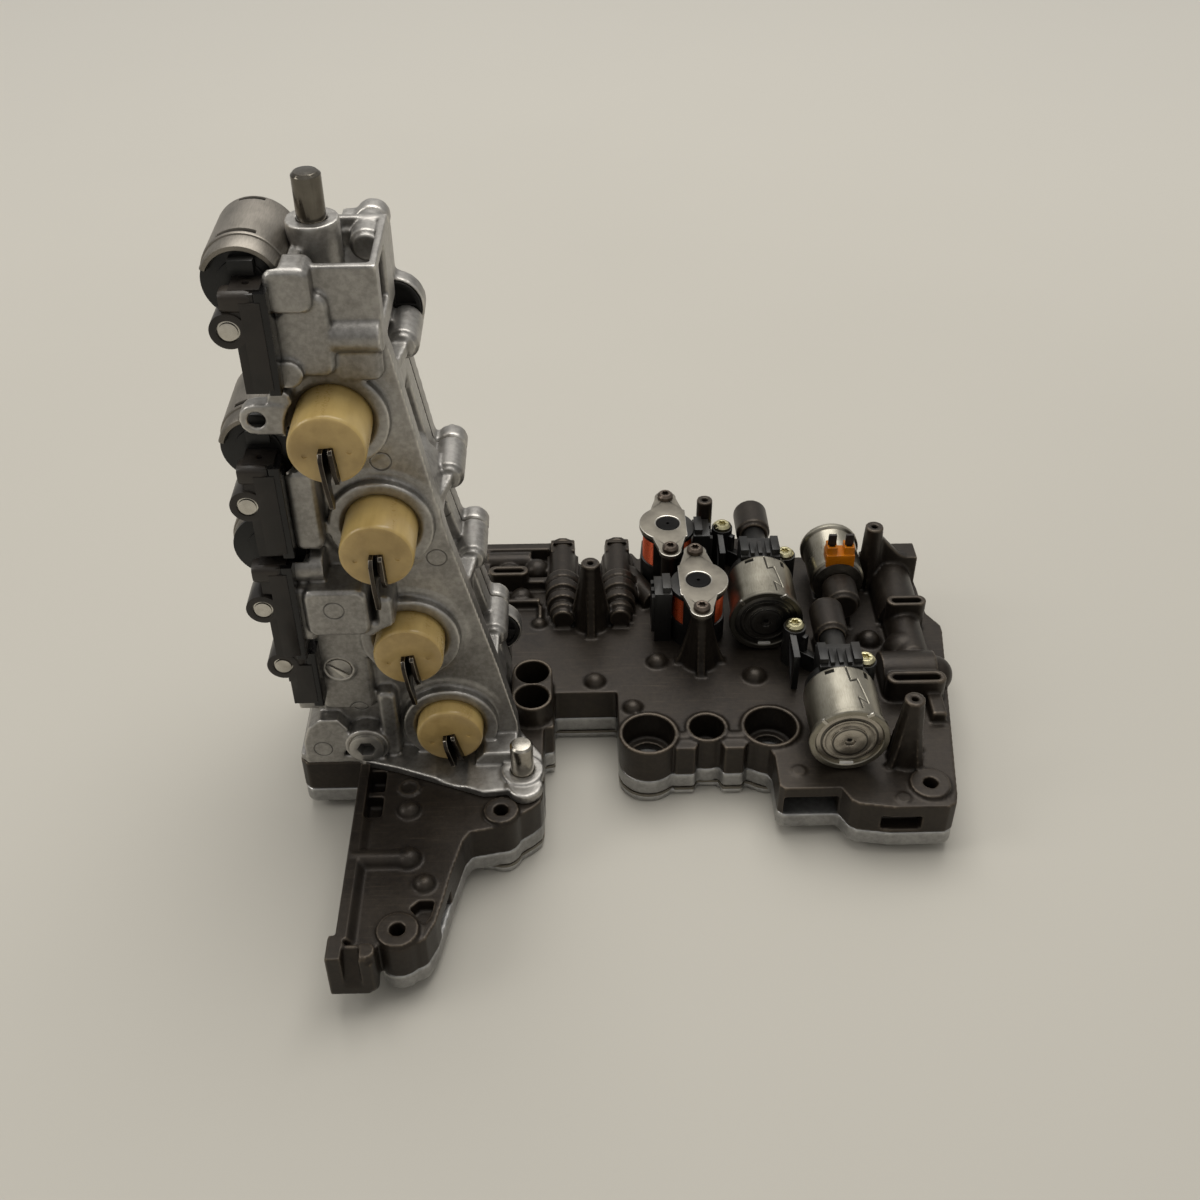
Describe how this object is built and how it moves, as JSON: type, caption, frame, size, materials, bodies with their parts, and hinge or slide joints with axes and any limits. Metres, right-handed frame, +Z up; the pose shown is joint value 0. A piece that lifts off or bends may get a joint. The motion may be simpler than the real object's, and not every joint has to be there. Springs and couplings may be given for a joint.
{
  "type": "transmission valve body",
  "caption": "Flat cast valve plate with solenoids and oil ports, joined to an upright valve block whose shift pistons move the forks of an automatic gearbox.",
  "frame": {"origin": "axis of the middle mounting hole at the bottom face of the plate", "axes": "+X to the right along the plate, +Y from the piston side to the rear, +Z up along the upright block"},
  "size_m": [0.3295, 0.2826, 0.3045],
  "materials": {
    "cast_dark": "dark coated casting, satin",
    "cast_silver": "bare die casting, fine grain",
    "cast_pale": "bare casting, pale",
    "sheet_steel": "plain sheet steel",
    "bright_steel": "bright ground or plated steel",
    "dark_steel": "dark hardened steel",
    "can_steel": "nickel plated, satin",
    "pole_dark": "dark oxide steel",
    "ivory_plastic": "amber ivory plastic",
    "black_plastic": "black glass filled plastic",
    "orange_plastic": "orange plastic",
    "copper_wire": "enamelled copper wire"
  },
  "bodies": {
    "housing": {"bottom_cover": "cast_pale", "separator_plate": "sheet_steel", "lower_valve_body": "cast_pale", "upper_valve_body": "cast_dark", "cover_screws": "bright_steel", "spool_spring_1": "dark_steel", "spool_spring_2": "dark_steel", "bore_plugs": "bright_steel", "retainer_clips": "sheet_steel", "solenoid_can_1": "can_steel", "solenoid_can_2": "can_steel", "solenoid_can_3": "can_steel", "solenoid_pole_1": "pole_dark", "solenoid_pole_2": "black_plastic", "solenoid_pole_3": "pole_dark", "solenoid_connector_1": "black_plastic", "solenoid_connector_2": "black_plastic", "solenoid_connector_3": "orange_plastic", "connector_terminals": "dark_steel", "solenoid_bracket_1": "black_plastic", "solenoid_bracket_2": "black_plastic", "bracket_screws": "bright_steel", "coil_frame_1": "black_plastic", "coil_frame_2": "black_plastic", "coil_winding_1": "copper_wire", "coil_winding_2": "copper_wire", "yoke_plate_1": "sheet_steel", "yoke_plate_2": "sheet_steel", "yoke_screws": "bright_steel", "front_casting": "cast_silver", "upright_separator": "sheet_steel", "rear_casting": "cast_silver", "upright_bolts": "bright_steel", "side_can_1": "can_steel", "side_can_2": "can_steel", "side_can_3": "can_steel", "side_cap_1": "black_plastic", "side_cap_2": "black_plastic", "side_cap_3": "black_plastic", "retainer_strip_1": "black_plastic", "retainer_strip_2": "black_plastic", "retainer_strip_3": "black_plastic", "retainer_strip_4": "black_plastic", "retainer_pins": "bright_steel", "socket_plug": "cast_silver", "slotted_plug": "cast_silver", "locating_dowel": "bright_steel", "upper_end_cap": "black_plastic", "lower_end_cap": "black_plastic"},
    "shift_1": {"shift_piston_1": "ivory_plastic", "shift_finger_1": "dark_steel"},
    "shift_2": {"shift_piston_2": "ivory_plastic", "shift_finger_2": "dark_steel"},
    "shift_3": {"shift_piston_3": "ivory_plastic", "shift_finger_3": "dark_steel"},
    "shift_4": {"shift_piston_4": "ivory_plastic", "shift_finger_4": "dark_steel"},
    "parking_rod": {"parking_rod": "bright_steel"},
    "spool_1": {"spool_valve_1": "bright_steel"},
    "spool_2": {"spool_valve_2": "bright_steel"}
  },
  "joints": [
    {"name": "shift_slide_1", "type": "slide", "parent": "housing", "child": "shift_1", "axis": [0, -1, 0], "range_m": [-0.0165, 0.0015]},
    {"name": "shift_slide_2", "type": "slide", "parent": "housing", "child": "shift_2", "axis": [0, -1, 0], "range_m": [-0.015, 0.003]},
    {"name": "shift_slide_3", "type": "slide", "parent": "housing", "child": "shift_3", "axis": [0, -1, 0], "range_m": [-0.007, 0.011]},
    {"name": "shift_slide_4", "type": "slide", "parent": "housing", "child": "shift_4", "axis": [0, -1, 0], "range_m": [-0.002, 0.016]},
    {"name": "parking_slide", "type": "slide", "parent": "housing", "child": "parking_rod", "axis": [0, 0, 1], "range_m": [-0.012, 0]},
    {"name": "spool_slide_1", "type": "slide", "parent": "housing", "child": "spool_1", "axis": [0, 1, 0], "range_m": [0, 0.006], "stiffness_N_per_m": 300, "springref_m": -0.01, "deforming": ["spool_spring_1"]},
    {"name": "spool_slide_2", "type": "slide", "parent": "housing", "child": "spool_2", "axis": [0, 1, 0], "range_m": [0, 0.006], "stiffness_N_per_m": 300, "springref_m": -0.01, "deforming": ["spool_spring_2"]}
  ]
}
